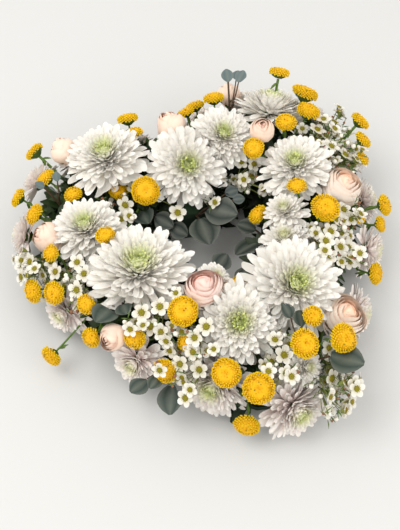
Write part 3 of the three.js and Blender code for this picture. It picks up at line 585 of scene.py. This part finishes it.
def waxflower(sheet, centre, axis, R, rng, planes=()):
    """Five round waxy petals about an olive cup with a ring of red-brown dots."""
    side = unit(np.cross(axis, [0.3, 0.9, 0.2]))
    up = np.cross(axis, side)
    white, cream = linear(240, 237, 229), linear(222, 216, 186)
    spin = rng.uniform(0, 6)
    for i in range(5):
        t = spin + i * 1.2566
        d = math.cos(t) * side + math.sin(t) * up
        s = -math.sin(t) * side + math.cos(t) * up
        a = np.arange(9) / 9 * 2 * math.pi
        hub = centre + d * 0.62 * R + axis * 0.02 * R
        rim = hub + 0.39 * R * (np.cos(a)[:, None] * d + np.sin(a)[:, None] * s)
        rim = rim + axis * R * (0.1 + 0.08 * np.cos(a) + (i % 2) * 0.03)[:, None]
        points = settle(np.concatenate([[hub], rim]), planes)
        inner = 0.5 + 0.5 * np.cos(a)
        colours = np.concatenate([[mix(cream, white, 0.6)], mix(cream, white, inner * 1.4)])
        sheet.add(points, colours, [[0, 1 + k, 1 + (k + 1) % 9] for k in range(9)], "wax_petal")
    a = np.arange(8) / 8 * 2 * math.pi
    rings = []
    for r, h in ((0.34, 0.0), (0.32, 0.2), (0.22, 0.12), (0.08, 0.14), (0.0, 0.34)):
        rings.append(centre + R * (r * (np.cos(a)[:, None] * side + np.sin(a)[:, None] * up) + h * axis))
    sheet.grid(np.array(rings), linear(140, 132, 22), "green", wrap=True)
    for k in range(10):
        t = spin + k * 0.628
        p = centre + R * (0.36 * (math.cos(t) * side + math.sin(t) * up) + 0.24 * axis)
        bead(sheet, p, 0.05 * R, linear(150, 96, 44))
    cone = [centre - axis * 0.5 * R, centre - axis * 0.1 * R, centre + axis * 0.06 * R]
    tube(sheet, cone, [0.12 * R, 0.3 * R, 0.36 * R], linear(120, 128, 60), "green", 7)


def bead(sheet, centre, r, colour):
    """A small round bead with eight faces."""
    p = centre + r * np.array([[1, 0, 0], [0, 1, 0], [-1, 0, 0], [0, -1, 0], [0, 0, 1], [0, 0, -1.0]])
    faces = [[0, 1, 4], [1, 2, 4], [2, 3, 4], [3, 0, 4], [1, 0, 5], [2, 1, 5], [3, 2, 5], [0, 3, 5]]
    sheet.add(p, colour, faces, "green")


def ball(sheet, centre, r, colour, slot, tall=1.0, axis=(0, 0, 1.0)):
    """A smooth round bud."""
    axis = unit(np.array(axis, float))
    side = unit(np.cross(axis, [0.4, 0.8, 0.3]))
    up = np.cross(axis, side)
    a = np.arange(8) / 8 * 2 * math.pi
    rings = []
    for k in range(6):
        e = -math.pi / 2 + math.pi * k / 5
        rings.append(centre + r * (math.cos(e) * (np.cos(a)[:, None] * side + np.sin(a)[:, None] * up)
                                   + tall * math.sin(e) * axis))
    sheet.grid(np.array(rings), colour, slot, wrap=True)


def leaf(sheet, base, along, face, length, width, colour, rim, droop, fold, planes, nu):
    """A leaf from its base, folded a little along the middle and drooping to its tip."""
    along, face = unit(along), unit(face - np.dot(face, unit(along)) * unit(along))
    across = np.cross(face, along)
    t = np.linspace(0, 1, nu + 1)
    v = np.linspace(-1, 1, 5)
    w = width * np.maximum(np.sin(np.clip(t * 0.93 + 0.05, 0, 1) * math.pi) ** 0.7, 0.04)
    spine = base + (t * length)[:, None] * along - (droop * length * t ** 2)[:, None] * face
    points = (spine[:, None, :] + (w[:, None] * v)[..., None] * across
              + (w[:, None] * np.abs(v) * fold)[..., None] * face)
    points = settle(points.reshape(-1, 3), planes).reshape(points.shape)
    vein = np.exp(-(v / 0.16) ** 2)
    pale = np.maximum(np.abs(v) ** 8 * 0.5, vein * 0.45)
    tone = mix(np.broadcast_to(colour, (nu + 1, 5, 3)), rim, np.broadcast_to(pale, (nu + 1, 5)))
    sheet.grid(points, tone, "leaf")


def needles(sheet, centre, axis, count, length, rng):
    """Thin needle leaves about a twig."""
    for _ in range(count):
        way = unit(axis + scatter(rng, 0.9))
        leaf(sheet, centre, way, np.array([0.2, -0.5, 1.0]), length * rng.uniform(0.6, 1.2), 0.7,
             linear(92, 116, 58), linear(120, 140, 80), 0.2, 0.3, (), 2)


def root_of(head):
    """Where a head's stem stands in the foam."""
    reach, depth = 17, 24.0
    q, offset, out = nearest(head.at[0], head.at[1])
    o = max(min(offset * 0.45, reach), -reach)
    return np.array([q[0] + out[0] * o, q[1] + out[1] * o, depth])


def curve(p, leave, q, arrive):
    """A smooth path from p to q that leaves and arrives along the given vectors."""
    t = np.linspace(0, 1, 8)[:, None]
    a, b = p + leave, q - arrive
    return p * (1 - t) ** 3 + 3 * a * t * (1 - t) ** 2 + 3 * b * t ** 2 * (1 - t) + q * t ** 3


def stems(sheet, heads, colour):
    """A main stem to the first head, with branches from it that reach the others from behind."""
    kind = heads[0].kind
    root = root_of(heads[0])
    first = end_of(heads[0], root)
    long = np.linalg.norm(first - root)
    path = curve(root, unit(first - root) * long * 0.35, first, arrival(heads[0], first - root) * long * 0.3)
    tube(sheet, path, STEM[kind], colour)
    joint = path[3]
    for head in heads[1:]:
        back = end_of(head, joint)
        long = np.linalg.norm(back - joint)
        path = curve(joint, unit(first - root) * long * 0.2, back, arrival(head, back - joint) * long * 0.45)
        tube(sheet, path, STEM[kind] * 0.7, colour)
    return joint


def end_of(head, start):
    """Where a stem meets its head: behind a flower, or at the near end of a leaf."""
    if head.kind == "eucalyptus":
        return head.at - leaf_way(head, start) * head.r
    return head.at - head.a * BACK[head.kind] * head.r


def leaf_way(head, start):
    """The nearly level direction in which a leaf grows from its twig."""
    return unit((head.at - start) * np.array([1, 1, 0.3]))


def arrival(head, way):
    """The direction in which a stem reaches its head."""
    return unit(way) if head.kind == "eucalyptus" else head.a


def free_at(point, room, own):
    """True where a small flower or leaf stands clear of the larger heads."""
    gap = np.linalg.norm(MIDDLES - point, axis=1) - ROOMS * 0.8 - room
    return all(g > 0 or h.node == own for g, h in zip(gap, HEADS))


def small_waxflowers(sheet, head, heads, rng):
    """Smaller flowers and buds on twigs round one head of a waxflower spray, with needle leaves."""
    for k in range(SMALL_TRIES):
        around = np.array([rng.uniform(-1, 1), rng.uniform(-1, 1), rng.uniform(-0.9, 0.3)])
        spot = head.at + around * SMALL_REACH
        in_hole = math.hypot(spot[0], spot[1] - HOLE_Y) < HOLE_CLEAR
        if abs(spot[0]) > SMALL_EDGE or in_hole or not free_at(spot, 3, head.node):
            continue
        if min(np.linalg.norm(spot - other.at) for other in heads) < SMALL_APART:
            continue
        axis = unit(head.a + scatter(rng, 0.45))
        pick = k % 4
        if pick < 2:
            waxflower(sheet, spot, axis, rng.uniform(6.6, 8.6), rng)
        elif pick == 2:
            ball(sheet, spot, rng.uniform(1.8, 2.8), linear(246, 240, 226), "wax_petal")
        else:
            ball(sheet, spot, rng.uniform(1.2, 1.8), linear(146, 98, 72), "green")
        tube(sheet, bent(head.at - head.a * 14, spot - axis * 1.5, -axis * 2, 4), 0.45,
             linear(120, 128, 66), sides=4)
        needles(sheet, spot - axis * 6, axis, 2, 9, rng)
    needles(sheet, head.at - head.a * 8, head.a, 5, 11, rng)


# One piece for each node of flowers or leaves.
for number, (name, heads) in enumerate(NODES.items()):
    rng = random.Random(1000 + number)
    sheet = Sheet()
    kind = heads[0].kind
    if kind == "chrysanthemum":
        stems(sheet, heads, STALK)
        for head in heads:
            chrysanthemum(sheet, head, rng, head.at[2] < 60)
        build("bloom_" + name, sheet, ["petal", "green"], [name])
    elif kind == "rose":
        stems(sheet, heads, STALK)
        for head in heads:
            rose(sheet, head, rng, name == "rose_07")
        build("bloom_" + name, sheet, ["rose_petal", "green"], [name])
    elif kind == "button":
        stems(sheet, heads, linear(92, 122, 48))
        for head in heads:
            button(sheet, head, rng)
            low = head.at - head.a * 0.8 * head.r
            for _ in range(2):
                way = unit(-head.a + scatter(rng, 0.8))
                leaf(sheet, low - head.a * 3, way, UP, 10, 1.6, linear(84, 112, 44),
                     linear(110, 130, 70), 0.2, 0.3, (), 3)
        build("bloom_" + name, sheet, ["floret", "green", "leaf"], [name])
    elif kind == "waxflower":
        stems(sheet, heads, linear(70, 84, 42))
        for head in heads:
            waxflower(sheet, head.at, head.a, head.r, rng, planes_of(head))
            small_waxflowers(sheet, head, heads, rng)
        build("bloom_" + name, sheet, ["wax_petal", "green", "leaf"], [name])
    else:
        joint = stems(sheet, heads, BARK)
        for head in heads:
            tone = linear(92, 110, 112) if head.r < 8 else linear(54, 68, 62)
            # Leaves near the hole are darkened by half, painted shade of the hole.
            if math.hypot(head.at[0], head.at[1] - HOLE_Y) < HOLE_SHADE:
                tone = tone * 0.5
            along = leaf_way(head, root_of(head) if head is heads[0] else joint)
            leaf(sheet, head.at - along * head.r, along, head.a + UP * 0.6, 2 * head.r, 0.95 * head.r, tone,
                 LEAF_RIM, 0.12, 0.12, planes_of(head), 8)
        build("spray_" + name, sheet, ["leaf", "green"], [name])


# Greenery that hides the foam, rooted all over it, with painted shade darkening the leaves inside the hole.
GREENS = [linear(44, 60, 32), linear(62, 82, 44), linear(36, 52, 34), linear(74, 90, 60)]
LEAVES, LOWEST = 2600, 20
rng = random.Random(7)
cover = Sheet()
for i in range(LEAVES):
    k = rng.randrange(len(LINE))
    x, y, nx, ny = LINE[k]
    x2, y2 = LINE[(k + 1) % len(LINE), :2]
    j = rng.uniform(0, 1)
    x, y = x + (x2 - x) * j, y + (y2 - y) * j
    turn = rng.uniform(-0.5, math.pi + 0.5)
    c, s = math.cos(turn), math.sin(turn)
    wide = FOAM_HALF * max(min(c * 1.5, 1), -1)
    z = LOWEST + (FOAM_TOP - LOWEST) * max(min(s * 1.5, 1), -0.5)
    base = np.array([x + nx * wide, y + ny * wide, z])
    q, offset, _ = nearest(base[0], base[1])
    if abs(offset) < FOAM_HALF - 6 and z < FOAM_TOP - 12:
        continue
    way = unit(np.array([nx * c, ny * c, s * 0.8]) + scatter(rng, 0.7))
    if c > 0:
        way[2] = max(way[2], -0.5 * (z - 4) / 20)
    long = rng.uniform(12, 26)
    face = unit(np.array([nx * c, ny * c, max(s, 0) + 0.5]) + scatter(rng, 0.5))
    # Leaves on the hole's side of the foam are darkened to 0.35 of their colour, painted shade inside the
    # hole.
    tone = GREENS[i % 4] * (0.35 if c < -0.2 else 1.0)
    leaf(cover, base, way, face, long, long * rng.uniform(0.18, 0.3), tone, tone * 1.5, 0.25, 0.25, (), 3)
# A leaf that leans into the hole from under the pink rose, on a twig that comes out of the foam; leaf and
# twig are darkened as painted shade in the hole.
LEAF_FOOT, TWIG_ROOT = np.array([-9.0, -19.0, 57.0]), np.array([-62.0, -42.0, 44.0])
LEAF_WAY, LEAF_FACE = np.array([0.75, 0.6, 0.1]), np.array([0, -0.3, 1.0])
leaf(cover, LEAF_FOOT, LEAF_WAY, LEAF_FACE, 21, 10.5, linear(50, 64, 60) * 0.6, LEAF_RIM, 0.12, 0.12, (), 8)
tube(cover, bent(TWIG_ROOT, LEAF_FOOT, UP * 3), 0.9, BARK * 0.6, "leaf")
build("greenery", cover, ["leaf"])


# Foam and tray keep their own solids.
def plain(name, colour, roughness, scale, bump):
    """A material of one colour with fine grain, for a solid that is kept."""
    mat = bpy.data.materials.new(name)
    mat.use_nodes = True
    nodes, links = mat.node_tree.nodes, mat.node_tree.links
    shader = nodes["Principled BSDF"]
    shader.inputs["Roughness"].default_value = roughness
    place = nodes.new("ShaderNodeTexCoord")
    noise = nodes.new("ShaderNodeTexNoise")
    noise.inputs["Scale"].default_value = scale
    noise.inputs["Detail"].default_value = 4.0
    links.new(place.outputs["Object"], noise.inputs["Vector"])
    ramp = nodes.new("ShaderNodeValToRGB")
    ramp.color_ramp.elements[0].color = (*(colour * 0.6), 1)
    ramp.color_ramp.elements[1].color = (*(colour * 1.25), 1)
    links.new(noise.outputs["Fac"], ramp.inputs["Fac"])
    links.new(ramp.outputs["Color"], shader.inputs["Base Color"])
    relief = nodes.new("ShaderNodeBump")
    relief.inputs["Strength"].default_value = bump
    relief.inputs["Distance"].default_value = 0.0008
    links.new(noise.outputs["Fac"], relief.inputs["Height"])
    links.new(relief.outputs["Normal"], shader.inputs["Normal"])
    return mat


for node, mat in (("foam_ring", plain("foam", linear(40, 62, 38), 0.95, 700, 0.8)),
                  ("base_tray", plain("tray", linear(30, 56, 36), 0.45, 260, 0.1))):
    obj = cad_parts[node]
    obj.data.materials.clear()
    obj.data.materials.append(mat)


# Floor, light and camera.
bpy.ops.mesh.primitive_plane_add(size=8, location=(0, 0, -0.0004))
floor = bpy.context.object
floor.name = "floor"
paint = bpy.data.materials.new("floor")
paint.use_nodes = True
paint.node_tree.nodes["Principled BSDF"].inputs["Base Color"].default_value = (0.66, 0.665, 0.655, 1)
paint.node_tree.nodes["Principled BSDF"].inputs["Roughness"].default_value = 0.9
floor.data.materials.append(paint)


def lamp(name, place, target, size, power, colour):
    """A square soft light that faces its target."""
    data = bpy.data.lights.new(name, "AREA")
    data.size = size
    data.energy = power
    data.color = colour
    obj = bpy.data.objects.new(name, data)
    obj.location = place
    obj.rotation_euler = (Vector(target) - Vector(place)).to_track_quat("-Z", "Y").to_euler()
    bpy.context.scene.collection.objects.link(obj)


lamp("key", (-0.7, 0.1, 1.5), (0, 0, 0.05), 1.0, 11, (1.0, 0.985, 0.96))
lamp("fill", (0.7, -1.1, 1.1), (0, 0, 0.05), 1.2, 6, (1.0, 0.99, 0.98))
world = bpy.data.worlds.new("studio")
world.use_nodes = True
world.node_tree.nodes["Background"].inputs["Color"].default_value = (1, 0.98, 0.955, 1)
world.node_tree.nodes["Background"].inputs["Strength"].default_value = 0.96
bpy.context.scene.world = world
bpy.context.scene.view_settings.view_transform = "Standard"

AZIMUTH, ELEVATION, DISTANCE, LENS = math.radians(-20), math.radians(58), 1000.0, 67.92
back = Vector((math.sin(AZIMUTH) * math.cos(ELEVATION), -math.cos(AZIMUTH) * math.cos(ELEVATION),
               math.sin(ELEVATION)))
right = Vector((math.cos(AZIMUTH), math.sin(AZIMUTH), 0))
up = back.cross(right)
# The picture's middle lies beside the wreath's own, at about half its height.
target = Vector((0, 0, 45)) - right * 18 - up * 7 + Vector(SHIFT)
camera = bpy.data.cameras.new("camera")
camera.lens = LENS
camera.clip_end = 20
eye = bpy.data.objects.new("camera", camera)
eye.location = (target + back * DISTANCE) * MM
eye.rotation_euler = back.to_track_quat("Z", "Y").to_euler()
bpy.context.scene.collection.objects.link(eye)
bpy.context.scene.camera = eye
